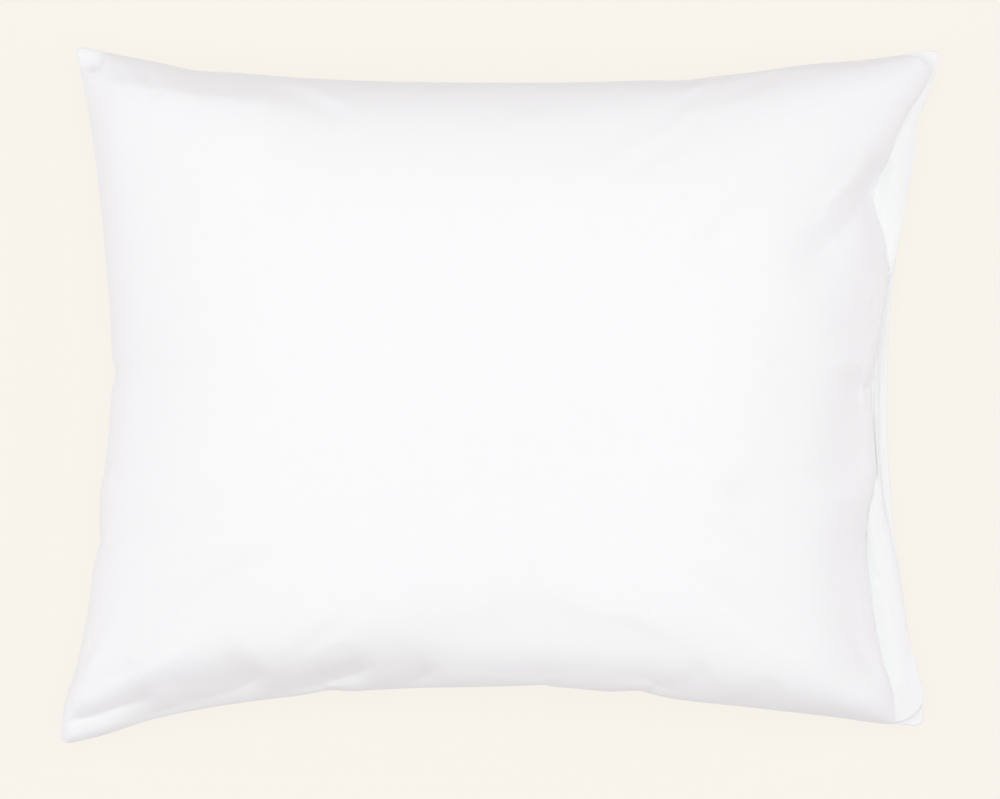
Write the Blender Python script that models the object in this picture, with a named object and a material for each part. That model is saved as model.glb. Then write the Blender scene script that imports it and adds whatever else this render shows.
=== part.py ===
"""A filled pillowcase lying on its back, with its open end towards +X.

Two cotton panels are sewn together along three sides. The front panel is one filled solid: its crown,
drawn-in sides, thin corner tips and folds. The back panel is a thin sheet, flat where it rests on the
surface, and its hem shows past the front's hem at the open end.
"""

from collections import namedtuple

import bmesh
import bpy
import numpy as np

# Driving sizes in metres. X runs along the case, Y across it, and Z is the height above the surface.
FILLED_HEIGHT = 0.135  # over the middle
CLOTH = 0.002  # a panel with its turned hem
PANEL_GAP = 0.0003

# The crown falls from the middle to each side as (1 - dome distance^2) (1 - distance^spread)^rise.
Crown = namedtuple("Crown", "spread rise dome")
CROWNS = {
    "low": Crown(12.0, 0.45, 0.10),
    "open": Crown(5.5, 0.62, 0.0),
    "high": Crown(3.6, 0.45, 0.0),
    "closed": Crown(3.8, 0.50, 0.0),
}
SLACK_RISE = 0.024  # how loosely the front lies over the back past the filling
SLACK_POWER = 6

# The back panel is flat in a rounded rectangle out to this share of the way, then rises to its seams. Its hem
# is level over the last part of the way.
FLAT_SHARE = 0.64
FLAT_ROUNDING = 4
BACK_RISE_POWER = 1.8
HEM_FLAT = 0.06

# How finely the panels are divided.
TIP_RADIUS = 0.03  # rounding of the corner tips, as a share of the half length
TIP_POINTS = 3
SIDE_CROWDING = 0.45  # crowds the points of a side towards its corners
FRONT_RINGS = 18
FIRST_RING = 0.3  # an extra ring this share of a step inside the edge, where the front rises most
FINE_RINGS = 9  # the rings near the seams, where the folds are, keep every point
HALVED_RINGS = 14  # from here to the crest only every fourth point is kept
RING_CROWDING = 0.4  # width of the outermost rings against even ones
BACK_RINGS = 4

Corner = namedtuple("Corner", "x y height")
CORNERS = {
    "closed_low": Corner(-0.311, -0.247, 0.038),
    "open_low": Corner(0.300, -0.235, 0.030),
    "open_high": Corner(0.312, 0.245, 0.032),
    "closed_high": Corner(-0.301, 0.247, 0.040),
}

# The filling draws each side in towards the middle, furthest at deepest_at, a share of the side's length.
Side = namedtuple("Side", "start end inward drawn_in deepest_at start_power end_power height points")
SIDES = {
    "low": Side("closed_low", "open_low", (0, 1), 0.037, 0.56, 3.0, 1.05, 0.047, 56),
    "open": Side("open_low", "open_high", (-1, 0), 0.034, 0.50, 1.5, 1.90, 0.030, 48),
    "high": Side("closed_high", "open_high", (0, -1), 0.027, 0.50, 2.9, 2.1, 0.050, 46),
    "closed": Side("closed_low", "closed_high", (1, 0), 0.032, 0.53, 1.7, 1.9, 0.046, 38),
}

# Small puckers in the seams: a positive depth goes in, and at is a share of the side's length.
Pucker = namedtuple("Pucker", "side at depth spread")
PUCKERS = (
    Pucker("closed", 0.72, -0.0018, 0.110),
    Pucker("closed", 0.53, 0.0030, 0.020),
    Pucker("closed", 0.36, -0.0020, 0.025),
    Pucker("closed", 0.29, 0.0025, 0.020),
    Pucker("closed", 0.18, 0.0010, 0.060),
    Pucker("closed", 0.06, -0.0030, 0.040),
    Pucker("high", 0.14, 0.0020, 0.030),
    Pucker("high", 0.70, 0.0015, 0.030),
    Pucker("high", 0.84, -0.0020, 0.050),
    Pucker("low", 0.05, -0.0025, 0.040),
    Pucker("low", 0.31, 0.0020, 0.020),
    Pucker("low", 0.67, 0.0030, 0.025),
    Pucker("low", 0.94, -0.0010, 0.030),
    Pucker("open", 0.885, 0.0045, 0.035),
    Pucker("open", 0.50, -0.0016, 0.080),
    Pucker("open", 0.30, 0.0005, 0.040),
    Pucker("open", 0.05, -0.0020, 0.030),
)
PUCKER_FADE = 8  # how fast a pucker fades away from its seam

# Where the filling ends inside the open end, from the low side to the high one. Past it the hem lies flat.
FillingEnd = namedtuple("FillingEnd", "x y")
FILLING_ENDS = (
    FillingEnd(0.2800, -0.2700),
    FillingEnd(0.2770, -0.2200),
    FillingEnd(0.2690, -0.1895),
    FillingEnd(0.2629, -0.1663),
    FillingEnd(0.2585, -0.1359),
    FillingEnd(0.2558, -0.1110),
    FillingEnd(0.2560, -0.0840),
    FillingEnd(0.2640, -0.0550),
    FillingEnd(0.2650, -0.0300),
    FillingEnd(0.2650, 0.0050),
    FillingEnd(0.2660, 0.0300),
    FillingEnd(0.2710, 0.0640),
    FillingEnd(0.2740, 0.1000),
    FillingEnd(0.2710, 0.1300),
    FillingEnd(0.2700, 0.1485),
    FillingEnd(0.2790, 0.1772),
    FillingEnd(0.2890, 0.1958),
    FillingEnd(0.3030, 0.2215),
    FillingEnd(0.3120, 0.2600),
)

# How far the back's hem shows past the front's hem, along the open side from its low corner.
Lip = namedtuple("Lip", "at width")
LIPS = (
    Lip(0.00, 0.0200),
    Lip(0.03, 0.0075),
    Lip(0.06, 0.0015),
    Lip(0.15, 0.0012),
    Lip(0.20, 0.0010),
    Lip(0.27, 0.0030),
    Lip(0.34, 0.0075),
    Lip(0.50, 0.0078),
    Lip(0.57, 0.0095),
    Lip(0.65, 0.0050),
    Lip(0.69, 0.0010),
    Lip(0.94, 0.0015),
    Lip(0.97, 0.0075),
    Lip(1.00, 0.0200),
)

# Folds of the front. Each follows a bent line in plan. A positive depth is a trough, a negative one a ridge.
Fold = namedtuple("Fold", "start bend end start_width end_width depth")
FOLDS = (
    # the crease that runs up beside the hem at the upper tip of the open end
    Fold((0.200, 0.080), (0.2410, 0.1186), (0.273, 0.176), 0.022, 0.013, 0.009),
    # the soft hollow below it
    Fold((0.264, 0.130), (0.256, 0.075), (0.252, 0.020), 0.018, 0.018, 0.009),
    # the dip half way down, and the head of the trough below it
    Fold((0.258, 0.022), (0.252, -0.020), (0.244, -0.078), 0.014, 0.018, 0.012),
    Fold((0.2525, -0.060), (0.254, -0.095), (0.257, -0.130), 0.013, 0.013, 0.005),
    Fold((0.248, -0.080), (0.252, -0.140), (0.261, -0.205), 0.017, 0.017, 0.007),
    # the folds that run into the low tip of the closed end
    Fold((-0.310, -0.231), (-0.272, -0.220), (-0.236, -0.208), 0.010, 0.013, 0.007),
    Fold((-0.266, -0.236), (-0.210, -0.212), (-0.158, -0.188), 0.015, 0.016, 0.016),
    Fold((-0.176, -0.216), (-0.130, -0.202), (-0.084, -0.185), 0.013, 0.013, 0.010),
    Fold((-0.098, -0.214), (-0.069, -0.2026), (-0.040, -0.188), 0.013, 0.013, 0.008),
    # the hollow where the filling is slack beside the low side, and the fuller edge at the upper closed tip
    Fold((-0.300, -0.222), (-0.150, -0.196), (-0.010, -0.185), 0.025, 0.028, 0.006),
    Fold((-0.294, 0.222), (-0.215, 0.208), (-0.140, 0.199), 0.024, 0.024, -0.007),
    # the shorter ones along the low side
    Fold((0.108, -0.208), (0.126, -0.199), (0.146, -0.187), 0.013, 0.013, 0.003),
    Fold((0.156, -0.219), (0.175, -0.211), (0.196, -0.200), 0.013, 0.013, 0.003),
    # the flat upper tip of the closed end, and the fold beside it
    Fold((-0.312, 0.246), (-0.294, 0.239), (-0.277, 0.236), 0.010, 0.010, 0.030),
    Fold((-0.170, 0.220), (-0.138, 0.207), (-0.104, 0.190), 0.010, 0.011, 0.003),
)
FOLD_STEPS = 80
FOLD_TAPER = 0.22  # share of a fold's length over which each of its ends fades
FOLD_FULL_RISE = 0.030  # folds are at their full depth where the front rises this far above its seams
DEEPEST_FOLD = 0.8  # share of that rise which folds may take

COTTON_WHITE = (0.94, 0.945, 0.95, 1.0)
COTTON_ROUGHNESS = 0.85


def clear_scene():
    for item in list(bpy.data.objects):
        bpy.data.objects.remove(item)


def side_curve(name, share):
    """Points of a side's seam, as x, y and height, at shares of its length."""
    side = SIDES[name]
    start = np.array(CORNERS[side.start])
    end = np.array(CORNERS[side.end])
    before = np.clip(1 - share / side.deepest_at, 0, 1) ** side.start_power
    after = np.clip((share - side.deepest_at) / (1 - side.deepest_at), 0, 1) ** side.end_power
    inward = side.drawn_in * (1 - before - after)
    points = start + share[:, None] * (end - start)
    points[:, :2] += inward[:, None] * np.array(side.inward)
    points[:, 2] += (side.height - (start[2] + end[2]) / 2) * np.sin(np.pi * share)
    return points


def pucker_shift(name, share, closeness):
    """How far in plan the puckers of a side move points, which fades away from that side."""
    depth = np.zeros(len(share))
    for pucker in PUCKERS:
        if pucker.side == name:
            depth += pucker.depth * np.exp(-(((share - pucker.at) / pucker.spread) ** 2))
    return (depth * closeness**PUCKER_FADE)[:, None] * np.array(SIDES[name].inward)


def seam_surface(uv):
    """The smooth surface between the four seams (a Coons patch), for u and v from -1 to 1."""
    a = (uv[:, 0] + 1) / 2
    b = (uv[:, 1] + 1) / 2
    along = a[:, None]
    up = b[:, None]
    between_long_sides = (1 - up) * side_curve("low", a) + up * side_curve("high", a)
    between_ends = (1 - along) * side_curve("closed", b) + along * side_curve("open", b)
    corners = {name: np.array(corner) for name, corner in CORNERS.items()}
    low = (1 - along) * corners["closed_low"] + along * corners["open_low"]
    high = (1 - along) * corners["closed_high"] + along * corners["open_high"]
    points = between_long_sides + between_ends - (1 - up) * low - up * high
    points[:, :2] += pucker_shift("low", a, 1 - b) + pucker_shift("high", a, b)
    points[:, :2] += pucker_shift("closed", b, 1 - a) + pucker_shift("open", b, a)
    return points


def rim():
    """The u and v of the points along the seams, anticlockwise from the low corner of the closed end."""
    straight_to = 1 - TIP_RADIUS
    turns = np.linspace(0, np.pi / 2, TIP_POINTS + 1)[:-1]
    tip = np.stack([TIP_RADIUS * np.sin(turns), -TIP_RADIUS * np.cos(turns)], axis=1)
    tip += np.array([straight_to, -straight_to])
    points = []
    for quarter, side in enumerate(SIDES.values()):
        steps = np.arange(side.points) / side.points
        crowded = steps - SIDE_CROWDING * np.sin(2 * np.pi * steps) / (2 * np.pi)
        along = straight_to * (2 * crowded - 1)
        straight = np.stack([along, -np.ones_like(along)], axis=1)
        sine = round(np.sin(quarter * np.pi / 2))
        cosine = round(np.cos(quarter * np.pi / 2))
        quarter_turn = np.array([[cosine, sine], [-sine, cosine]])
        points.append(np.concatenate([straight, tip]) @ quarter_turn)
    return np.concatenate(points)


def back_height(rim_uv, out):
    """On the rays to the rim's points: where the back panel leaves the surface, and its height at out."""
    flat = FLAT_SHARE / (np.abs(rim_uv) ** FLAT_ROUNDING).sum(axis=1) ** (1 / FLAT_ROUNDING)
    hem = HEM_FLAT * np.clip((rim_uv[:, 0] - 0.9) / 0.1, 0, 1)
    rise = np.clip((out - flat) / (1 - hem - flat), 0, 1) ** BACK_RISE_POWER
    return flat, (seam_surface(rim_uv)[:, 2] - CLOTH) * rise


def back_rings(rim_uv, lift):
    """Rings of the back panel from the seams to its flat part, raised by lift."""
    flat = back_height(rim_uv, 1)[0]
    rings = []
    for step in range(BACK_RINGS, -1, -1):
        out = flat + (1 - flat) * step / BACK_RINGS
        points = seam_surface(rim_uv * out[:, None])
        points[:, 2] = back_height(rim_uv, out)[1] + lift
        rings.append(points if step == BACK_RINGS else points[::2])
    return rings


def hem_setback(rim_uv):
    """How far the front's hem lies inside the back's, for each point of the rim."""
    share = (rim_uv[:, 1] + 1) / 2
    width = np.interp(share, [lip.at for lip in LIPS], [lip.width for lip in LIPS])
    return width * np.clip((rim_uv[:, 0] - 1) / TIP_RADIUS + 1, 0, 1)


def set_hem_back(rings, rim_uv):
    """Pulls the outer ring in along its own faces, so that it keeps its distance from the back panel."""
    outer, inner = rings[0], rings[1]
    facing = np.repeat(inner, 2, axis=0)
    facing[1::2] = (inner + np.roll(inner, -1, axis=0)) / 2
    reach = np.linalg.norm((facing - outer)[:, :2], axis=1)
    rings[0] = outer + (facing - outer) * (hem_setback(rim_uv) / reach)[:, None]


def crown_rise(uv, plan):
    """Height of the front above its seams at u and v, which lie at plan, before folds."""
    filling_end = np.interp(plan[:, 1], [end.y for end in FILLING_ENDS], [end.x for end in FILLING_ENDS])
    towards = {"low": -uv[:, 1], "open": plan[:, 0] / filling_end, "high": uv[:, 1], "closed": -uv[:, 0]}
    fall = {}
    for name, crown in CROWNS.items():
        distance = np.clip(towards[name], 0, 1)
        fall[name] = (1 - crown.dome * distance**2) * (1 - distance**crown.spread) ** crown.rise
    middle_seam_height = seam_surface(np.zeros((1, 2)))[0, 2]
    crest = FILLED_HEIGHT - middle_seam_height - PANEL_GAP - CLOTH
    out = np.clip(uv[:, 0], 0, 1)
    slack = SLACK_RISE * out**2 * (1 - out**SLACK_POWER)
    return fall["low"] * fall["high"] * (crest * fall["closed"] * fall["open"] + slack)


def fold_line(fold):
    """Points along a fold's bent line in plan."""
    t = np.linspace(0, 1, FOLD_STEPS)[:, None]
    start, bend, end = (np.array(place) for place in (fold.start, fold.bend, fold.end))
    control = 2 * bend - (start + end) / 2
    return (1 - t) ** 2 * start + 2 * t * (1 - t) * control + t**2 * end


def fold_depth(places):
    """How far the folds lower the front at these places in plan."""
    total = np.zeros(len(places))
    for fold in FOLDS:
        apart = np.linalg.norm(places[:, None, :] - fold_line(fold)[None, :, :], axis=2)
        along = apart.argmin(axis=1) / (FOLD_STEPS - 1)
        width = fold.start_width + (fold.end_width - fold.start_width) * along
        fade = np.clip(np.minimum(along, 1 - along) / FOLD_TAPER, 0, 1)
        total += fold.depth * fade**2 * (3 - 2 * fade) * np.exp(-((apart.min(axis=1) / width) ** 2))
    return total


def front_rings(rim_uv, hem_edge):
    """Rings of the front panel from just inside its edge to near its crest."""
    hem_share = np.linalg.norm(hem_edge[:, :2], axis=1)
    hem_share /= np.linalg.norm(seam_surface(rim_uv)[:, :2], axis=1)
    rings = []
    for step in (FIRST_RING, *range(1, FRONT_RINGS)):
        inside = step / FRONT_RINGS
        out = hem_share * (1 - inside * (RING_CROWDING + (1 - RING_CROWDING) * inside**2))
        uv = rim_uv * out[:, None]
        points = seam_surface(uv)
        rise = crown_rise(uv, points[:, :2])
        lowered = np.clip(rise / FOLD_FULL_RISE, 0, 1) * fold_depth(points[:, :2])
        deepest = np.maximum(DEEPEST_FOLD * rise, 1e-6)
        lowered = np.where(lowered > 0, deepest * (1 - np.exp(-lowered / deepest)), lowered)
        points[:, 2] += PANEL_GAP + CLOTH + rise - lowered
        every = 1 if step < FINE_RINGS else 2 if step < HALVED_RINGS else 4
        rings.append(points[::every])
    return rings


def join_rings(mesh, outer, inner):
    """Faces between two rings of vertices, where the inner one has as many or half as many."""
    count = len(inner)
    ratio = len(outer) // count
    for i in range(count):
        here, after = inner[i], inner[(i + 1) % count]
        first = outer[ratio * i]
        last = outer[ratio * (i + 1) % len(outer)]
        if ratio == 1:
            mesh.faces.new((first, last, after, here))
            continue
        middle = outer[ratio * i + 1]
        mesh.faces.new((first, middle, here))
        mesh.faces.new((middle, after, here))
        mesh.faces.new((middle, last, after))


def add_skin(mesh, rings):
    """Rings of points joined into one skin. Returns the vertices of its first and last rings."""
    made = [[mesh.verts.new(point) for point in ring] for ring in rings]
    for outer, inner in zip(made, made[1:]):
        join_rings(mesh, outer, inner)
    return made[0], made[-1]


def cotton(name):
    material = bpy.data.materials.new(name)
    material.use_nodes = True
    shader = material.node_tree.nodes["Principled BSDF"]
    shader.inputs["Base Color"].default_value = COTTON_WHITE
    shader.inputs["Roughness"].default_value = COTTON_ROUGHNESS
    shader.inputs["Metallic"].default_value = 0.0
    material.diffuse_color = COTTON_WHITE
    return material


def finish_panel(name, mesh):
    bmesh.ops.triangulate(mesh, faces=mesh.faces, quad_method="SHORT_EDGE", ngon_method="BEAUTY")
    bmesh.ops.recalc_face_normals(mesh, faces=mesh.faces)
    data = bpy.data.meshes.new(name)
    mesh.to_mesh(data)
    mesh.free()
    data.materials.append(cotton(name + "_cotton"))
    panel = bpy.data.objects.new(name, data)
    bpy.context.scene.collection.objects.link(panel)
    return panel


def build_front_panel(rim_uv):
    """The front drawn over the filling: crowned and folded above, and above the back panel below."""
    under = back_rings(rim_uv, CLOTH + PANEL_GAP)
    set_hem_back(under, rim_uv)
    edge = under[0] + np.array([0, 0, CLOTH])
    mesh = bmesh.new()
    edge_loop, crest_loop = add_skin(mesh, [edge] + front_rings(rim_uv, edge))
    crest = mesh.verts.new((*seam_surface(np.zeros((1, 2)))[0, :2], FILLED_HEIGHT))
    for i, vertex in enumerate(crest_loop):
        mesh.faces.new((vertex, crest_loop[(i + 1) % len(crest_loop)], crest))
    under_loop, flat_loop = add_skin(mesh, under)
    join_rings(mesh, edge_loop, under_loop)
    mesh.faces.new(flat_loop)
    return finish_panel("front_panel", mesh)


def build_back_panel(rim_uv):
    """The back: a sheet, flat in the middle and rising to the seams and to its own hem."""
    mesh = bmesh.new()
    upper_edge, upper_flat = add_skin(mesh, back_rings(rim_uv, CLOTH))
    lower_edge, lower_flat = add_skin(mesh, back_rings(rim_uv, 0))
    join_rings(mesh, upper_edge, lower_edge)
    mesh.faces.new(upper_flat)
    mesh.faces.new(lower_flat)
    return finish_panel("back_panel", mesh)


clear_scene()
seams = rim()
build_front_panel(seams)
build_back_panel(seams)
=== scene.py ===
"""A filled white pillowcase lying on its back with its open end to the right, seen from above.

The front panel is a crowned cotton skin over the filling, and the back panel is a sheet under it. Both follow
the seams of the frame's solids. Lengths are in metres, and X, Y and Z are the frame's. On both panels u runs
from -1 at the closed end to 1 at the open end, and v from -1 at the low side to 1 at the high side.
"""

from collections import namedtuple

import bpy
import numpy as np
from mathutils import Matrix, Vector

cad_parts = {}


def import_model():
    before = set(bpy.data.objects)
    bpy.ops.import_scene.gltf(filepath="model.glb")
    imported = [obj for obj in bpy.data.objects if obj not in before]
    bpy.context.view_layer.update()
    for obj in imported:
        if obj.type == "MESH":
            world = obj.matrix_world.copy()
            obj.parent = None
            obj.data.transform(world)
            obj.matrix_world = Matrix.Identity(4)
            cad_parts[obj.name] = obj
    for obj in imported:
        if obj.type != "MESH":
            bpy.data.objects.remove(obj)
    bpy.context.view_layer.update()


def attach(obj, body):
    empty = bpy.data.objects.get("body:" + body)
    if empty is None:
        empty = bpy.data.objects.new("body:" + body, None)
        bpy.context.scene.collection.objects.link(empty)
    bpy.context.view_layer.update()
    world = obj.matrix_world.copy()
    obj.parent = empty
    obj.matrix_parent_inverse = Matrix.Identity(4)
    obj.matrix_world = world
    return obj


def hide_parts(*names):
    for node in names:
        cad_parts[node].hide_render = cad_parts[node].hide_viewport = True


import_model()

# ---------------------------------------------------------------------------------------------------------
# Sizes of the frame's solids

FILLED_HEIGHT = 0.135
CLOTH = 0.002  # thickness
PANEL_GAP = 0.0003  # between the two panels
HALF_LENGTH = 0.300
HALF_WIDTH = 0.240

# The crown falls from the middle to each side as (1 - dome distance^2) (1 - distance^spread)^rise.
Crown = namedtuple("Crown", "spread rise dome")
CROWNS = {
    "low": Crown(12.0, 0.45, 0.10),
    "open": Crown(5.5, 0.62, 0.0),
    "high": Crown(3.6, 0.45, 0.0),
    "closed": Crown(3.8, 0.50, 0.0),
}
SLACK_RISE = 0.024  # the slack cloth at the open end rises as u^2 (1 - u^power)
SLACK_POWER = 6
FLAT_SHARE = 0.64  # share of the way out over which the back lies flat
FLAT_ROUNDING = 4
FLAT_MOST = 0.99
BACK_RISE_POWER = 1.8
HEM_FROM = 0.9  # the back's hem is past this u
HEM_FLAT = 0.06  # share of the way out over which that hem is level
TIP_RADIUS = 0.03  # of the back's corner tips, in u and v

# Where the seams meet, and how each seam runs between two corners: it is drawn in, most at one place, and its
# height swells to the middle.
Corner = namedtuple("Corner", "x y height")
CORNERS = {
    "closed_low": Corner(-0.311, -0.247, 0.038),
    "open_low": Corner(0.300, -0.235, 0.030),
    "open_high": Corner(0.312, 0.245, 0.032),
    "closed_high": Corner(-0.301, 0.247, 0.040),
}

Side = namedtuple("Side", "start end inward drawn_in deepest_at start_power end_power height")
SIDES = {
    "low": Side("closed_low", "open_low", (0, 1), 0.037, 0.56, 3.0, 1.05, 0.047),
    "open": Side("open_low", "open_high", (-1, 0), 0.034, 0.50, 1.5, 1.90, 0.030),
    "high": Side("closed_high", "open_high", (0, -1), 0.027, 0.50, 2.9, 2.1, 0.050),
    "closed": Side("closed_low", "closed_high", (1, 0), 0.032, 0.53, 1.7, 1.9, 0.046),
}

# Puckers of the seams: where along a side, how deep (below zero, outwards) and how wide. They fade inwards.
Pucker = namedtuple("Pucker", "side at depth spread")
PUCKERS = (
    Pucker("closed", 0.72, -0.0018, 0.110),
    Pucker("closed", 0.53, 0.0030, 0.020),
    Pucker("closed", 0.36, -0.0020, 0.025),
    Pucker("closed", 0.29, 0.0025, 0.020),
    Pucker("closed", 0.18, 0.0010, 0.060),
    Pucker("closed", 0.06, -0.0030, 0.040),
    Pucker("high", 0.14, 0.0020, 0.030),
    Pucker("high", 0.70, 0.0015, 0.030),
    Pucker("high", 0.84, -0.0020, 0.050),
    Pucker("low", 0.05, -0.0025, 0.040),
    Pucker("low", 0.31, 0.0020, 0.020),
    Pucker("low", 0.67, 0.0030, 0.025),
    Pucker("low", 0.94, -0.0010, 0.030),
    Pucker("open", 0.885, 0.0045, 0.035),
    Pucker("open", 0.50, -0.0016, 0.080),
    Pucker("open", 0.30, 0.0005, 0.040),
    Pucker("open", 0.05, -0.0020, 0.030),
)
PUCKER_FADE = 8

# ---------------------------------------------------------------------------------------------------------
# The front's own detail, finer than the solids'

# Where the filling ends inside the open end, from the low side to the high one. Past it the hem lies flat.
FillingEnd = namedtuple("FillingEnd", "x y")
FILLING_ENDS = (
    FillingEnd(0.2800, -0.2700),
    FillingEnd(0.2770, -0.2200),
    FillingEnd(0.2690, -0.1895),
    FillingEnd(0.2629, -0.1663),
    FillingEnd(0.2585, -0.1359),
    FillingEnd(0.2558, -0.1110),
    FillingEnd(0.2560, -0.0840),
    FillingEnd(0.2640, -0.0550),
    FillingEnd(0.2628, -0.0300),
    FillingEnd(0.2612, 0.0050),
    FillingEnd(0.2650, 0.0300),
    FillingEnd(0.2710, 0.0640),
    FillingEnd(0.2735, 0.0900),
    FillingEnd(0.2710, 0.1080),
    FillingEnd(0.2660, 0.1230),
    FillingEnd(0.2625, 0.1380),
    FillingEnd(0.2650, 0.1500),
    FillingEnd(0.2710, 0.1660),
    FillingEnd(0.2785, 0.1840),
    FillingEnd(0.2880, 0.2020),
    FillingEnd(0.3010, 0.2215),
    FillingEnd(0.3120, 0.2600),
)

# How rounded each corner of the front is, as a share of the half length. At the open end the back's tips show
# past it.
FRONT_TIPS = {(-1, -1): 0.035, (1, -1): 0.10, (1, 1): 0.12, (-1, 1): 0.035}

# How far the back's hem shows past the front's, along the open side from its low corner. Where the width is
# negative the front's hem covers it. The front's edge is set back so past this u.
LIP_FROM = 0.8
Lip = namedtuple("Lip", "at width")
LIPS = (
    Lip(0.00, -0.0010),
    Lip(0.10, -0.0010),
    Lip(0.15, 0.0012),
    Lip(0.20, 0.0005),
    Lip(0.27, 0.0030),
    Lip(0.34, 0.0075),
    Lip(0.42, 0.0080),
    Lip(0.50, 0.0075),
    Lip(0.57, 0.0095),
    Lip(0.65, 0.0050),
    Lip(0.69, 0.0005),
    Lip(0.75, -0.0010),
    Lip(0.88, -0.0010),
    Lip(1.00, 0.0010),
)

# Folds. Each follows a path in plan, with its widths to the path's left and right at its start and its end.
# A positive depth is a trough, a negative one a ridge. The lower the power, the sharper its line.
Fold = namedtuple("Fold", "path left right power depth")
FOLDS = (
    # the crease that runs up beside the hem into the upper tip of the open end
    Fold(
        ((0.2100, 0.0890), (0.2257, 0.1034), (0.2410, 0.1186), (0.2570, 0.1400), (0.2660, 0.1600),
         (0.2730, 0.1760)),
        (0.016, 0.011), (0.016, 0.006), 1.4, 0.009,
    ),
    Fold(
        ((0.195, 0.080), (0.2207, 0.0994), (0.2410, 0.1186), (0.2540, 0.1360), (0.266, 0.158)),
        (0.014, 0.010), (0.024, 0.020), 1.6, 0.009,
    ),
    # the slack cloth where it meets the hem
    Fold(
        ((0.275, 0.078), (0.272, 0.098), (0.268, 0.114), (0.263, 0.130), (0.2625, 0.148),
         (0.272, 0.170)),
        (0.012, 0.007), (0.011, 0.009), 2.0, 0.018,
    ),
    # soft hollows in the cloth half way down
    Fold(
        ((0.264, 0.130), (0.260, 0.100), (0.256, 0.070), (0.254, 0.045), (0.252, 0.020)),
        (0.012, 0.014), (0.024, 0.024), 1.8, 0.0110,
    ),
    # the dip half way down, and the small ridge in it beside its slit
    Fold(
        ((0.2580, 0.022), (0.2565, 0.005), (0.2540, -0.020), (0.2515, -0.045), (0.248, -0.078)),
        (0.012, 0.018), (0.018, 0.030), 1.7, 0.020,
    ),
    Fold(
        ((0.2562, 0.020), (0.2550, 0.012), (0.2546, 0.004), (0.2546, -0.004), (0.2554, -0.012)),
        (0.0026, 0.0026), (0.0028, 0.0028), 2.0, -0.0060,
    ),
    # the head of the trough that reaches the low side beside the hem, and the trough itself
    Fold(
        ((0.2525, -0.066), (0.2540, -0.0824), (0.2550, -0.1000), (0.2570, -0.125)),
        (0.003, 0.003), (0.014, 0.012), 1.5, 0.008,
    ),
    Fold(
        ((0.250, -0.080), (0.252, -0.120), (0.257, -0.160), (0.265, -0.215)),
        (0.010, 0.010), (0.020, 0.020), 1.7, 0.016,
    ),
    # the crease across the hem beside it
    Fold(
        ((0.257, -0.089), (0.2585, -0.107), (0.2612, -0.1217), (0.268, -0.132), (0.2755, -0.146),
         (0.285, -0.170)),
        (0.002, 0.003), (0.002, 0.003), 1.4, 0.0016,
    ),
    # the folds that run into the low tip of the closed end
    Fold(
        ((-0.310, -0.2310), (-0.2986, -0.2280), (-0.2851, -0.2246), (-0.2682, -0.2187),
         (-0.2530, -0.2144), (-0.236, -0.208)),
        (0.005, 0.007), (0.016, 0.020), 1.2, 0.016,
    ),
    Fold(
        ((-0.266, -0.2358), (-0.250, -0.2290), (-0.2226, -0.2165), (-0.2006, -0.2111),
         (-0.1854, -0.2060), (-0.1702, -0.1975), (-0.158, -0.188)),
        (0.013, 0.015), (0.012, 0.022), 1.2, 0.030,
    ),
    Fold(
        ((-0.150, -0.199), (-0.1364, -0.1933), (-0.1220, -0.1880), (-0.098, -0.180)),
        (0.008, 0.010), (0.005, 0.005), 1.8, -0.003,
    ),
    Fold(
        ((-0.176, -0.216), (-0.1580, -0.2100), (-0.1330, -0.2030), (-0.1161, -0.1985),
         (-0.1009, -0.1935), (-0.084, -0.185)),
        (0.009, 0.009), (0.012, 0.012), 1.3, 0.020,
    ),
    Fold(
        ((-0.098, -0.214), (-0.0841, -0.2077), (-0.0689, -0.2026), (-0.0570, -0.1981),
         (-0.040, -0.188)),
        (0.008, 0.009), (0.012, 0.012), 1.4, 0.014,
    ),
    Fold(
        ((-0.302, -0.210), (-0.282, -0.201), (-0.250, -0.187)),
        (0.005, 0.006), (0.004, 0.006), 1.8, 0.0022,
    ),
    # the hollow where the filling is slack beside the low side, and the fuller edge at the upper closed tip
    Fold(
        ((-0.300, -0.222), (-0.230, -0.205), (-0.150, -0.196), (-0.080, -0.190), (-0.010, -0.185)),
        (0.012, 0.016), (0.045, 0.045), 1.6, 0.008,
    ),
    Fold(
        ((-0.294, 0.222), (-0.250, 0.213), (-0.200, 0.206), (-0.140, 0.199)),
        (0.012, 0.010), (0.045, 0.045), 1.6, -0.009,
    ),
    # the shorter ones along the low side
    Fold(
        ((0.108, -0.208), (0.126, -0.199), (0.146, -0.187)),
        (0.008, 0.010), (0.020, 0.020), 1.6, 0.003,
    ),
    Fold(
        ((0.156, -0.219), (0.175, -0.211), (0.196, -0.200)),
        (0.007, 0.010), (0.020, 0.020), 1.6, 0.003,
    ),
    # the flat upper tip of the closed end, and its folds
    Fold(
        ((-0.312, 0.246), (-0.298, 0.240), (-0.277, 0.236)),
        (0.010, 0.010), (0.010, 0.008), 3.0, 0.040,
    ),
    Fold(
        ((-0.276, 0.240), (-0.265, 0.226), (-0.254, 0.205)),
        (0.003, 0.005), (0.006, 0.010), 1.6, 0.0015,
    ),
    Fold(
        ((-0.257, 0.240), (-0.247, 0.225), (-0.234, 0.204)),
        (0.004, 0.006), (0.006, 0.010), 1.6, 0.0022,
    ),
    Fold(
        ((-0.176, 0.228), (-0.150, 0.220), (-0.130, 0.212), (-0.104, 0.197)),
        (0.005, 0.007), (0.005, 0.007), 2.0, -0.0014,
    ),
    Fold(
        ((-0.170, 0.220), (-0.146, 0.211), (-0.128, 0.203), (-0.104, 0.190)),
        (0.006, 0.008), (0.007, 0.009), 1.8, 0.0022,
    ),
)
PATH_STEPS = 8  # between two places of a path
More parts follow.
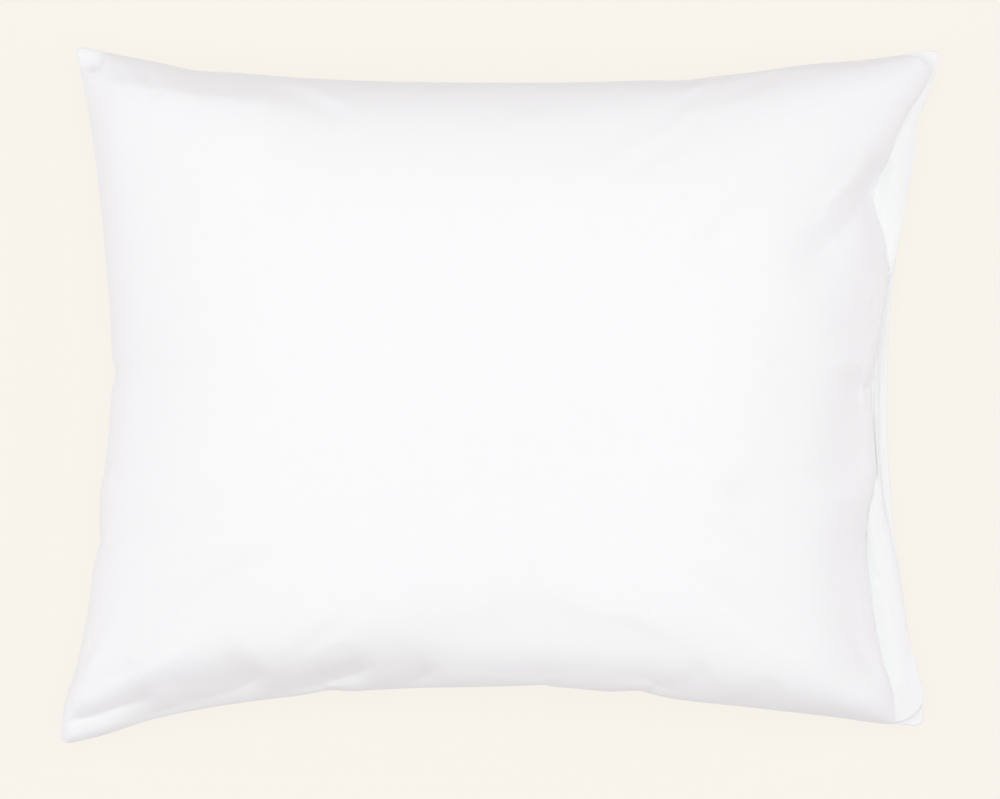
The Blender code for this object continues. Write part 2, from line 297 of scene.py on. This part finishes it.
FOLD_REACH = 3  # widths from its path, past which a fold is nothing
FOLD_TAPER = 0.22  # share of a fold's length over which each of its ends fades
FOLD_FULL_RISE = 0.030  # folds are at their full depth where the front rises this far above its seams
HEM_FOLDS_FROM = 0.78  # past this u of the grid they reach into the hem, setting in over this much
HEM_FOLDS_OVER = 0.08
HEM_FADE = 0.012  # there they fade over this last share of the way to its edge
DEEPEST_FOLD = 0.80  # share of the front's rise that folds may take
DEEPEST_IN_HEM = 0.85  # share of the hem's thickness that they may take

SEAM_TUCK = 0.0010  # how far the cloth curls in to the seams
SEAM_ROLL = 0.003  # over this distance from a seam
SEAM_UNTIL = 0.95  # past this u is the open end, which has no seam
SEAM_ENDS_OVER = 0.04

# The filling's push: a short cloth simulation of the front's skin on a coarser grid, with its seams held.
PUSH_ALONG = 120
PUSH_ACROSS = 96
PUSH_FRAMES = 16
PUSH_LIMIT = 0.0026  # how far it moves a point at most
PUSH_SETTINGS = {
    "quality": 6,
    "mass": 0.15,
    "use_pressure": True,
    "uniform_pressure_force": 3.0,
    "shrink_min": -0.0013,  # below zero, the cloth is longer than the crown it starts on
    "tension_stiffness": 30,
    "compression_stiffness": 30,
    "shear_stiffness": 10,
    "bending_stiffness": 3,
}

# The grid of the front: its own lines, crowded towards the seams, and the closer lines at the edges, which
# lie this far inside a seam or a hem.
GRID_ALONG = 320
GRID_ACROSS = 210
GRID_CROWDING = 0.6
GRID_SAMPLES = 2001  # places at which the crowding is added up
EDGE_ROOM = 1.6  # the grid stops this many times as far inside an edge as its innermost closer line
SEAM_LINES = (0.0, 0.00002, 0.0001, 0.0003, 0.0008, 0.002)
HEM_LINES = (0.0, 0.00013, 0.0005, 0.0010, 0.0020)
CROWDED_AT = 0.90  # more lines here, where the filling ends
CROWDED_OVER = 0.08
CROWDED_BY = 1.2

# The rings of the faces that lie under: how many, how much they crowd outwards, where they stop as a share of
# the way out, and the closer ones, which lie this far inside the edge.
Rings = namedtuple("Rings", "count power flat first then")
UNDER_RINGS = Rings(16, 1.3, 0.6, (0.001,), 0.0035)
BACK_RINGS = Rings(24, 1.3, 0.55, (0.0003, 0.001), 0.0025)

# ---------------------------------------------------------------------------------------------------------


def side_curve(name, share):
    """Points of a side's seam, as x, y and height, at shares of its length."""
    side = SIDES[name]
    start = np.array(CORNERS[side.start])
    end = np.array(CORNERS[side.end])
    before = np.clip(1 - share / side.deepest_at, 0, 1) ** side.start_power
    after = np.clip((share - side.deepest_at) / (1 - side.deepest_at), 0, 1) ** side.end_power
    inward = side.drawn_in * (1 - before - after)
    points = start + share[:, None] * (end - start)
    points[:, :2] += inward[:, None] * np.array(side.inward)
    points[:, 2] += (side.height - (start[2] + end[2]) / 2) * np.sin(np.pi * share)
    return points


def pucker_shift(name, share, closeness):
    """How far in plan the puckers of a side move points, which fades away from that side."""
    depth = np.zeros(len(share))
    for pucker in PUCKERS:
        if pucker.side == name:
            depth += pucker.depth * np.exp(-(((share - pucker.at) / pucker.spread) ** 2))
    return (depth * closeness**PUCKER_FADE)[:, None] * np.array(SIDES[name].inward)


def seam_surface(uv):
    """The smooth surface between the four seams (a Coons patch), for u and v from -1 to 1."""
    a = (uv[:, 0] + 1) / 2
    b = (uv[:, 1] + 1) / 2
    along = a[:, None]
    up = b[:, None]
    between_long_sides = (1 - up) * side_curve("low", a) + up * side_curve("high", a)
    between_ends = (1 - along) * side_curve("closed", b) + along * side_curve("open", b)
    corners = {name: np.array(corner) for name, corner in CORNERS.items()}
    low = (1 - along) * corners["closed_low"] + along * corners["open_low"]
    high = (1 - along) * corners["closed_high"] + along * corners["open_high"]
    points = between_long_sides + between_ends - (1 - up) * low - up * high
    points[:, :2] += pucker_shift("low", a, 1 - b) + pucker_shift("high", a, b)
    points[:, :2] += pucker_shift("closed", b, 1 - a) + pucker_shift("open", b, a)
    return points


def rounded(square, radii):
    """Points on the edge of the square of u and v, moved on to its rounded corners."""
    past = np.clip((np.abs(square) - 1 + radii[:, None]) / radii[:, None], 0, 1)
    p, q = past[:, 0], past[:, 1]
    turned = np.stack([p * np.sqrt(1 - q * q / 2), q * np.sqrt(1 - p * p / 2)], axis=1)
    straight = np.minimum(np.abs(square), 1 - radii[:, None])
    return np.sign(square) * (straight + radii[:, None] * turned)


def back_rim(square):
    return rounded(square, np.full(len(square), TIP_RADIUS))


def front_rim(square):
    """The front's own edge, set back at the open end."""
    radii = np.empty(len(square))
    for (along, across), radius in FRONT_TIPS.items():
        radii[(square[:, 0] * along >= 0) & (square[:, 1] * across >= 0)] = radius
    rim = rounded(square, radii)
    lip = np.interp((rim[:, 1] + 1) / 2, [lip.at for lip in LIPS], [lip.width for lip in LIPS])
    near_end = np.clip((rim[:, 0] - LIP_FROM) / (1 - LIP_FROM), 0, 1) ** 2
    rim[:, 0] -= near_end * lip / HALF_LENGTH
    return rim


def out_share(uv):
    """How far out u and v are on their ray to the back's rounded rim, and the rim's point there."""
    size = np.abs(uv)
    most = np.maximum(size.max(axis=1), 1e-9)
    slope = size.min(axis=1) / most
    middle = 1 - TIP_RADIUS
    half = middle * (1 + slope)
    root = half**2 - (1 + slope**2) * (2 * middle**2 - TIP_RADIUS**2)
    on_tip = (half + np.sqrt(np.maximum(root, 0))) / (1 + slope**2)
    reach = np.where(slope > middle, on_tip, 1.0)
    return most / reach, uv * (reach / most)[:, None]


def back_underside(uv):
    """Height of the back panel's lower face at u and v."""
    out, rim_uv = out_share(uv)
    spread = np.maximum((np.abs(rim_uv) ** FLAT_ROUNDING).sum(axis=1), 1e-9)
    flat = np.minimum(FLAT_SHARE / spread ** (1 / FLAT_ROUNDING), FLAT_MOST)
    hem = HEM_FLAT * np.clip((rim_uv[:, 0] - HEM_FROM) / (1 - HEM_FROM), 0, 1)
    rise = np.clip((out - flat) / (1 - hem - flat), 0, 1) ** BACK_RISE_POWER
    return (seam_surface(rim_uv)[:, 2] - CLOTH) * rise


def crown_rise(uv, plan):
    """Height of the front above its seams, before folds."""
    u, v = uv[:, 0], uv[:, 1]
    end = smooth_path(FILLING_ENDS)
    past = plan[:, 0] / np.interp(plan[:, 1], end[:, 1], end[:, 0])
    towards = {"low": -v, "open": past, "high": v, "closed": -u}
    fall = {}
    for name, crown in CROWNS.items():
        distance = np.clip(towards[name], 0, 1)
        fall[name] = (1 - crown.dome * distance**2) * (1 - distance**crown.spread) ** crown.rise
    middle_seam_height = seam_surface(np.zeros((1, 2)))[0, 2]
    crest = FILLED_HEIGHT - middle_seam_height - PANEL_GAP - CLOTH
    slack = SLACK_RISE * np.clip(u, 0, 1) ** 2 * (1 - np.clip(u, 0, 1) ** SLACK_POWER)
    return fall["low"] * fall["high"] * (crest * fall["closed"] * fall["open"] + slack)


def smooth_path(path):
    """A smooth path through points in plan (Catmull-Rom)."""
    places = np.array(path, float)
    places = np.vstack([2 * places[0] - places[1], places, 2 * places[-1] - places[-2]])
    spans = len(path) - 1
    t = np.linspace(0, spans, PATH_STEPS * spans + 1)
    i = np.minimum(t.astype(int), spans - 1)
    t = (t - i)[:, None]
    p0, p1, p2, p3 = places[i], places[i + 1], places[i + 2], places[i + 3]
    slope = (p2 - p0) * t
    bend = (2 * p0 - 5 * p1 + 4 * p2 - p3) * t**2
    twist = (3 * p1 - p0 - 3 * p2 + p3) * t**3
    return 0.5 * (2 * p1 + slope + bend + twist)


def fold_depth(places):
    """How far the folds lower the front at these places in plan."""
    lowered = np.zeros(len(places))
    for fold in FOLDS:
        path = smooth_path(fold.path)
        reach = FOLD_REACH * max(fold.left + fold.right)
        low, high = path.min(axis=0) - reach, path.max(axis=0) + reach
        near = np.where(((places > low) & (places < high)).all(axis=1))[0]
        if len(near) == 0:
            continue
        lengths = np.concatenate([[0], np.cumsum(np.linalg.norm(np.diff(path, axis=0), axis=1))])
        at, apart, side = closest_on_path(places[near], path, lengths)
        along = at / lengths[-1]
        left = fold.left[0] + (fold.left[1] - fold.left[0]) * along
        right = fold.right[0] + (fold.right[1] - fold.right[0]) * along
        fade = smoothstep(np.minimum(along, 1 - along) / FOLD_TAPER)
        shape = np.exp(-((apart / np.where(side > 0, left, right)) ** fold.power))
        lowered[near] += fold.depth * fade * shape
    return lowered


def closest_on_path(places, path, lengths):
    """Where each place lies beside a path: the length along it, how far apart, and, above 0, to its left."""
    start = path[:-1]
    step = path[1:] - start
    offset = places[:, None, :] - start[None]
    share = np.clip((offset * step).sum(axis=2) / (step**2).sum(axis=1), 0, 1)
    gap = offset - share[:, :, None] * step
    apart = np.linalg.norm(gap, axis=2)
    best = apart.argmin(axis=1)
    rows = np.arange(len(places))
    at = lengths[best] + share[rows, best] * np.diff(lengths)[best]
    turn = step[best, 0] * gap[rows, best, 1] - step[best, 1] * gap[rows, best, 0]
    return at, apart[rows, best], turn


# ---------------------------------------------------------------------------------------------------------


def grid_lines(count, half, first=(), last=(), crowd=0.0):
    """Places from -1 to 1: crowded lines, and any closer ones at the first and last edges."""
    fine = np.linspace(-1, 1, GRID_SAMPLES)
    wanted = 1 / (1 - GRID_CROWDING + GRID_CROWDING * np.cos(fine * np.pi / 2))
    wanted += crowd * np.exp(-(((fine - CROWDED_AT) / CROWDED_OVER) ** 2))
    total = np.concatenate([[0], np.cumsum((wanted[1:] + wanted[:-1]) / 2)])
    crowded = np.interp(np.linspace(0, 1, count + 1), total / total[-1], fine)
    crowded *= 1 - EDGE_ROOM * max(first + last, default=0) / half
    start = -1 + np.array(first) / half
    end = 1 - np.array(last[::-1]) / half
    return np.concatenate([start, crowded, end])


def rim_order(columns, rows):
    """Places of a grid's outer points, anticlockwise from its first corner."""
    grid = np.arange(columns * rows).reshape(columns, rows)
    return np.concatenate([grid[:-1, 0], grid[-1, :-1], grid[:0:-1, -1], grid[0, :0:-1]])


def grid_faces(columns, rows):
    grid = np.arange(columns * rows).reshape(columns, rows)
    return np.stack([grid[:-1, :-1], grid[1:, :-1], grid[1:, 1:], grid[:-1, 1:]], axis=-1).reshape(-1, 4)


def ring_shares(rings, reach):
    """How far out each ring lies, as shares of the way to the rim's points."""
    steps = np.linspace(0, 1, rings.count) ** rings.power
    close = [1 - inset / reach for inset in rings.first]
    return close + [1 - rings.then / reach - (1 - rings.flat) * step for step in steps]


def ring_faces(first, second):
    """Quads between two rings of vertices that have as many points."""
    return np.stack([first, np.roll(first, -1), np.roll(second, -1), second], axis=1)


def smoothstep(x):
    x = np.clip(x, 0, 1)
    return x * x * (3 - 2 * x)


def make_piece(name, points, faces, material, threads=None):
    mesh = bpy.data.meshes.new(name)
    mesh.from_pydata(points.tolist(), [], faces)
    mesh.validate()
    mesh.shade_smooth()
    mesh.materials.append(material)
    places = points if threads is None else threads
    layer = mesh.attributes.new("thread_place", "FLOAT_VECTOR", "POINT")
    layer.data.foreach_set("vector", places.astype(np.float32).ravel())
    piece = bpy.data.objects.new(name, mesh)
    bpy.context.scene.collection.objects.link(piece)
    return piece


def crowned(square):
    """The front over the filling without folds, for u and v on the square grid, with its own u and v."""
    most = np.maximum(np.abs(square).max(axis=1), 1e-9)
    edge = front_rim(square / most[:, None])
    uv = edge * most[:, None]
    points = seam_surface(uv)
    rise = crown_rise(uv, points[:, :2])
    points[:, 2] += PANEL_GAP + CLOTH + rise
    inset = (1 - most) * np.linalg.norm(seam_surface(edge)[:, :2], axis=1)
    return points, uv, inset, rise


def square_grid(us, vs):
    return np.stack(np.meshgrid(us, vs, indexing="ij"), axis=-1).reshape(-1, 2)


def pushed_out():
    """The lines of a coarse grid, and how far the filling pushes the front's cloth at its crossings."""
    us = grid_lines(PUSH_ALONG, HALF_LENGTH)
    vs = grid_lines(PUSH_ACROSS, HALF_WIDTH)
    columns, rows = len(us), len(vs)
    skin, uv, _, _ = crowned(square_grid(us, vs))
    below = skin.copy()
    below[:, 2] = back_underside(uv) + CLOTH + PANEL_GAP - CLOTH / 2
    rim = rim_order(columns, rows)
    count = len(skin)
    inside = np.ones(count, bool)
    inside[rim] = False
    below_number = np.where(inside, count - 1 + np.cumsum(inside), np.arange(count))
    top_faces = grid_faces(columns, rows)
    faces = np.concatenate([top_faces, below_number[top_faces[:, ::-1]]])
    points = np.concatenate([skin, below[inside]])

    mesh = bpy.data.meshes.new("pushed_skin")
    mesh.from_pydata(points.tolist(), [], faces.tolist())
    bag = bpy.data.objects.new("pushed_skin", mesh)
    bpy.context.scene.collection.objects.link(bag)
    held = bag.vertex_groups.new(name="held")
    held.add(rim.tolist() + list(range(count, len(points))), 1.0, "REPLACE")
    cloth = bag.modifiers.new("cloth", "CLOTH")
    cloth.settings.vertex_group_mass = held.name
    for setting, value in PUSH_SETTINGS.items():
        setattr(cloth.settings, setting, value)
    cloth.settings.effector_weights.gravity = 0
    cloth.collision_settings.use_collision = False
    for frame_number in range(1, PUSH_FRAMES + 1):
        bpy.context.scene.frame_set(frame_number)
    result = bag.evaluated_get(bpy.context.evaluated_depsgraph_get()).data
    moved = np.empty(len(points) * 3, np.float32)
    result.vertices.foreach_get("co", moved)
    bpy.data.objects.remove(bag)
    bpy.data.meshes.remove(mesh)
    bpy.context.scene.frame_set(1)
    push = moved.reshape(-1, 3)[:count] - skin
    push /= np.sqrt(1 + (push**2).sum(axis=1) / PUSH_LIMIT**2)[:, None]
    return us, vs, push.reshape(columns, rows, 3)


def cubic_weights(wanted, lines):
    """A table that turns values on a grid's lines into values at wanted places (Catmull-Rom)."""
    place = np.interp(wanted, lines, np.arange(len(lines)))
    i = np.minimum(place.astype(int), len(lines) - 2)
    t = place - i
    weights = np.zeros((len(wanted), len(lines)))
    shares = (
        -0.5 * t**3 + t**2 - 0.5 * t,
        1.5 * t**3 - 2.5 * t**2 + 1,
        -1.5 * t**3 + 2 * t**2 + 0.5 * t,
        0.5 * t**3 - 0.5 * t**2,
    )
    for step, share in zip((-1, 0, 1, 2), shares):
        np.add.at(weights, (np.arange(len(wanted)), np.clip(i + step, 0, len(lines) - 1)), share)
    return weights


def front_surface(us, vs):
    """Points of the front on the grid: crowned, pushed out by the filling, folded, and rolled at its edge."""
    square = square_grid(us, vs)
    points, uv, inset, rise = crowned(square)
    coarse_us, coarse_vs, push = pushed_out()
    push = np.tensordot(cubic_weights(us, coarse_us), push, axes=1)
    push = np.tensordot(cubic_weights(vs, coarse_vs), push, axes=(1, 1))
    points += push.transpose(1, 0, 2).reshape(-1, 3)
    most = np.abs(square).max(axis=1)
    lowered = fold_depth(points[:, :2])
    in_hem = smoothstep((square[:, 0] - HEM_FOLDS_FROM) / HEM_FOLDS_OVER) * smoothstep((1 - most) / HEM_FADE)
    fade = np.maximum(np.clip(rise / FOLD_FULL_RISE, 0, 1), in_hem)
    underside = back_underside(uv) + CLOTH + PANEL_GAP
    deepest = np.maximum(DEEPEST_FOLD * rise, in_hem * DEEPEST_IN_HEM * (points[:, 2] - underside))
    deepest = np.maximum(deepest, 1e-6)
    points[:, 2] -= np.where(lowered > 0, deepest * (1 - np.exp(-fade * lowered / deepest)), fade * lowered)
    radius = CLOTH / 2
    within = np.clip(radius - inset, 0, radius)
    points[:, 2] -= radius - np.sqrt(radius**2 - within**2)
    return points, uv, inset, rise


def thread_places(points, columns, rows):
    """Distances along both threads of the cloth, for a grid of points."""
    grid = points.reshape(columns, rows, 3)
    along = np.linalg.norm(np.diff(grid, axis=0), axis=2)
    across = np.linalg.norm(np.diff(grid, axis=1), axis=2)
    s = np.concatenate([np.zeros((1, rows)), np.cumsum(along, axis=0)])
    t = np.concatenate([np.zeros((columns, 1)), np.cumsum(across, axis=1)], axis=1)
    s -= s[columns // 2]
    t -= t[:, rows // 2][:, None]
    return np.stack([s, t, np.zeros_like(s)], axis=-1).reshape(-1, 3)


def build_front(material):
    us = grid_lines(GRID_ALONG, HALF_LENGTH, SEAM_LINES, HEM_LINES, crowd=CROWDED_BY)
    vs = grid_lines(GRID_ACROSS, HALF_WIDTH, SEAM_LINES, SEAM_LINES)
    columns, rows = len(us), len(vs)
    square = square_grid(us, vs)
    points, uv, inset, rise = front_surface(us, vs)
    # curl the cloth in to the seams
    order = rim_order(columns, rows)
    threads = thread_places(points, columns, rows)
    seam = 1 - smoothstep((uv[:, 0] - SEAM_UNTIL) / SEAM_ENDS_OVER)
    tuck = SEAM_TUCK * seam * (1 - smoothstep(np.hypot(inset, rise) / SEAM_ROLL))
    points[:, :2] *= 1 - (tuck / np.linalg.norm(points[:, :2], axis=1))[:, None]
    faces = [grid_faces(columns, rows)]
    made = [points]
    thread_rows = [threads]
    rim_square = square[order]
    edge = front_rim(rim_square)
    previous = order
    count = len(points)
    reach = np.linalg.norm(seam_surface(edge)[:, :2], axis=1)
    for out in ring_shares(UNDER_RINGS, reach):
        ring_uv = edge * out[:, None]
        ring = seam_surface(ring_uv)
        ring[:, 2] = back_underside(ring_uv) + CLOTH + PANEL_GAP
        numbers = np.arange(count, count + len(ring))
        faces.append(ring_faces(numbers, previous))
        previous = numbers
        count += len(ring)
        made.append(ring)
        thread_rows.append(ring)
    all_faces = [face.tolist() for part in faces for face in part]
    all_faces.append(previous[::-1].tolist())
    return make_piece("front_cloth", np.concatenate(made), all_faces, material, np.concatenate(thread_rows))


def build_back(material):
    us = grid_lines(GRID_ALONG, HALF_LENGTH)
    vs = grid_lines(GRID_ACROSS, HALF_WIDTH)
    square = square_grid(us, vs)
    rim = back_rim(square[rim_order(len(us), len(vs))])
    reach = np.linalg.norm(seam_surface(rim)[:, :2], axis=1)
    outs = ring_shares(BACK_RINGS, reach)
    radius = CLOTH / 2

    def ring_at(out, upper):
        uv = rim * out[:, None]
        ring = seam_surface(uv)
        base = back_underside(uv)
        within = np.clip(radius - (1 - out) * reach, 0, radius)
        half = np.sqrt(radius**2 - within**2)
        ring[:, 2] = base + radius + (half if upper else -half)
        return ring

    rings = [ring_at(out, True) for out in outs[::-1]]
    rings.append(ring_at(np.ones(len(rim)), True))
    rings += [ring_at(out, False) for out in outs]
    count = len(rim)
    numbers = [np.arange(i * count, (i + 1) * count) for i in range(len(rings))]
    faces = [ring_faces(second, first) for first, second in zip(numbers, numbers[1:])]
    all_faces = [face.tolist() for part in faces for face in part]
    all_faces.append(numbers[0].tolist())
    all_faces.append(numbers[-1][::-1].tolist())
    return make_piece("back_cloth", np.concatenate(rings), all_faces, material)


# ---------------------------------------------------------------------------------------------------------
# Cotton

COTTON_SURFACE = {
    "Roughness": 0.88,
    "Sheen Weight": 0.03,
    "Sheen Roughness": 0.45,
    "Specular IOR Level": 0.25,
}
THREAD_PITCH = 0.0006
WEAVE_STRENGTH = 0.16
WEAVE_DEPTH = 0.0001
SLUB_ALONG = 25  # to the metre, along a thread and across it
SLUB_ACROSS = 900
SLUB_DETAIL = 3.0
SLUB_SHARE = 0.5  # of the weave's relief
SLUB_RANGE = (0.35, 0.65)
SLUB_TONE = 0.993


def cotton(name, tint):
    """Plain weave: fine threads with slubs in relief, and the slubs a little darker."""
    material = bpy.data.materials.new(name)
    material.use_nodes = True
    nodes = material.node_tree.nodes
    links = material.node_tree.links
    shader = nodes["Principled BSDF"]
    for socket, value in COTTON_SURFACE.items():
        shader.inputs[socket].default_value = value

    def arithmetic(operation, *values):
        node = nodes.new("ShaderNodeMath")
        node.operation = operation
        for socket, value in zip(node.inputs, values):
            if isinstance(value, bpy.types.NodeSocket):
                links.new(value, socket)
            else:
                socket.default_value = value
        return node.outputs[0]

    place = nodes.new("ShaderNodeAttribute")
    place.attribute_name = "thread_place"
    split = nodes.new("ShaderNodeSeparateXYZ")
    links.new(place.outputs["Vector"], split.inputs[0])

    def threads(distance):
        return arithmetic("SINE", arithmetic("MULTIPLY", distance, 2 * np.pi / THREAD_PITCH))

    def slub(scale):
        stretch = nodes.new("ShaderNodeMapping")
        stretch.inputs["Scale"].default_value = scale
        links.new(place.outputs["Vector"], stretch.inputs["Vector"])
        noise = nodes.new("ShaderNodeTexNoise")
        noise.inputs["Scale"].default_value = 1.0
        noise.inputs["Detail"].default_value = SLUB_DETAIL
        links.new(stretch.outputs[0], noise.inputs["Vector"])
        return noise.outputs["Fac"]

    weave = arithmetic("MULTIPLY", threads(split.outputs["X"]), threads(split.outputs["Y"]))
    slubs = arithmetic("ADD", slub((SLUB_ALONG, SLUB_ACROSS, 1)), slub((SLUB_ACROSS, SLUB_ALONG, 1)))
    bump = nodes.new("ShaderNodeBump")
    bump.inputs["Strength"].default_value = WEAVE_STRENGTH
    bump.inputs["Distance"].default_value = WEAVE_DEPTH
    links.new(arithmetic("MULTIPLY_ADD", slubs, SLUB_SHARE, weave), bump.inputs["Height"])
    links.new(bump.outputs[0], shader.inputs["Normal"])

    colour = nodes.new("ShaderNodeValToRGB")
    low, high = colour.color_ramp.elements
    low.position, high.position = SLUB_RANGE
    low.color = (*[channel * SLUB_TONE for channel in tint], 1)
    high.color = (*tint, 1)
    links.new(arithmetic("MULTIPLY", slubs, 0.5), colour.inputs[0])
    links.new(colour.outputs[0], shader.inputs["Base Color"])
    return material


# ---------------------------------------------------------------------------------------------------------
# Stage

FLOOR_HALF = 12.0
FLOOR_LEVEL = -0.0004
FLOOR_PAINT = {
    "Base Color": (0.17, 0.167, 0.157, 1),
    "Roughness": 1.0,
    "Specular IOR Level": 0.0,
    "Emission Color": (0.930, 0.896, 0.831, 1),
    "Emission Strength": 0.825,
}

# Square area lights that aim at the origin.
Light = namedtuple("Light", "name place power colour")
LIGHTS = (
    Light("overhead", (0, 0, 2.5), 21.3, (0.865, 1.0, 0.805)),
    Light("beyond_high_side", (0, 2.0, 1.5), 3.0, (1, 1, 1)),
    Light("beyond_closed_end", (-2.0, 0, 1.5), 11.7, (1, 1, 1)),
    Light("beyond_open_end", (2.0, 0, 1.5), 10.6, (1, 1, 1)),
)
LIGHT_SIZE = 2.0
WORLD_COLOUR = (0.965, 0.895, 1.0, 1)
WORLD_STRENGTH = 0.587

# The camera looks straight down, and its picture is this wide at the height of the seams.
SENSOR = 36
LENS = 150
VIEW_WIDTH = 0.704
VIEW_HEIGHT = 0.045
VIEW_CENTRE = (-0.0007, -0.0032)
CLIP = (0.05, 60)


def floor():
    mesh = bpy.data.meshes.new("floor")
    corners = [(x * FLOOR_HALF, y * FLOOR_HALF, FLOOR_LEVEL) for x, y in ((-1, -1), (1, -1), (1, 1), (-1, 1))]
    mesh.from_pydata(corners, [], [(0, 1, 2, 3)])
    material = bpy.data.materials.new("floor_paint")
    material.use_nodes = True
    for socket, value in FLOOR_PAINT.items():
        material.node_tree.nodes["Principled BSDF"].inputs[socket].default_value = value
    mesh.materials.append(material)
    piece = bpy.data.objects.new("floor", mesh)
    bpy.context.scene.collection.objects.link(piece)


def area_light(light):
    data = bpy.data.lights.new(light.name, "AREA")
    data.shape = "SQUARE"
    data.size = LIGHT_SIZE
    data.energy = light.power
    data.color = light.colour
    lamp = bpy.data.objects.new(light.name, data)
    lamp.location = light.place
    lamp.rotation_euler = (-Vector(light.place)).to_track_quat("-Z", "Y").to_euler()
    bpy.context.scene.collection.objects.link(lamp)


def camera():
    data = bpy.data.cameras.new("camera")
    data.sensor_width = SENSOR
    data.lens = LENS
    data.clip_start, data.clip_end = CLIP
    eye = bpy.data.objects.new("camera", data)
    eye.location = (*VIEW_CENTRE, VIEW_HEIGHT + VIEW_WIDTH * LENS / SENSOR)
    bpy.context.scene.collection.objects.link(eye)
    bpy.context.scene.camera = eye


def world():
    made = bpy.data.worlds.new("studio")
    made.use_nodes = True
    back = made.node_tree.nodes["Background"]
    back.inputs["Color"].default_value = WORLD_COLOUR
    back.inputs["Strength"].default_value = WORLD_STRENGTH
    bpy.context.scene.world = made


# ---------------------------------------------------------------------------------------------------------

front = build_front(cotton("front_cotton", (0.93, 0.93, 0.94)))
back = build_back(cotton("back_cotton", (0.92, 0.92, 0.93)))
for piece, node, slot in ((front, "front_panel", "front_cotton"), (back, "back_panel", "back_cotton")):
    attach(piece, "root")
    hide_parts(node)

floor()
world()
for light in LIGHTS:
    area_light(light)
camera()
bpy.context.scene.view_settings.view_transform = "Standard"
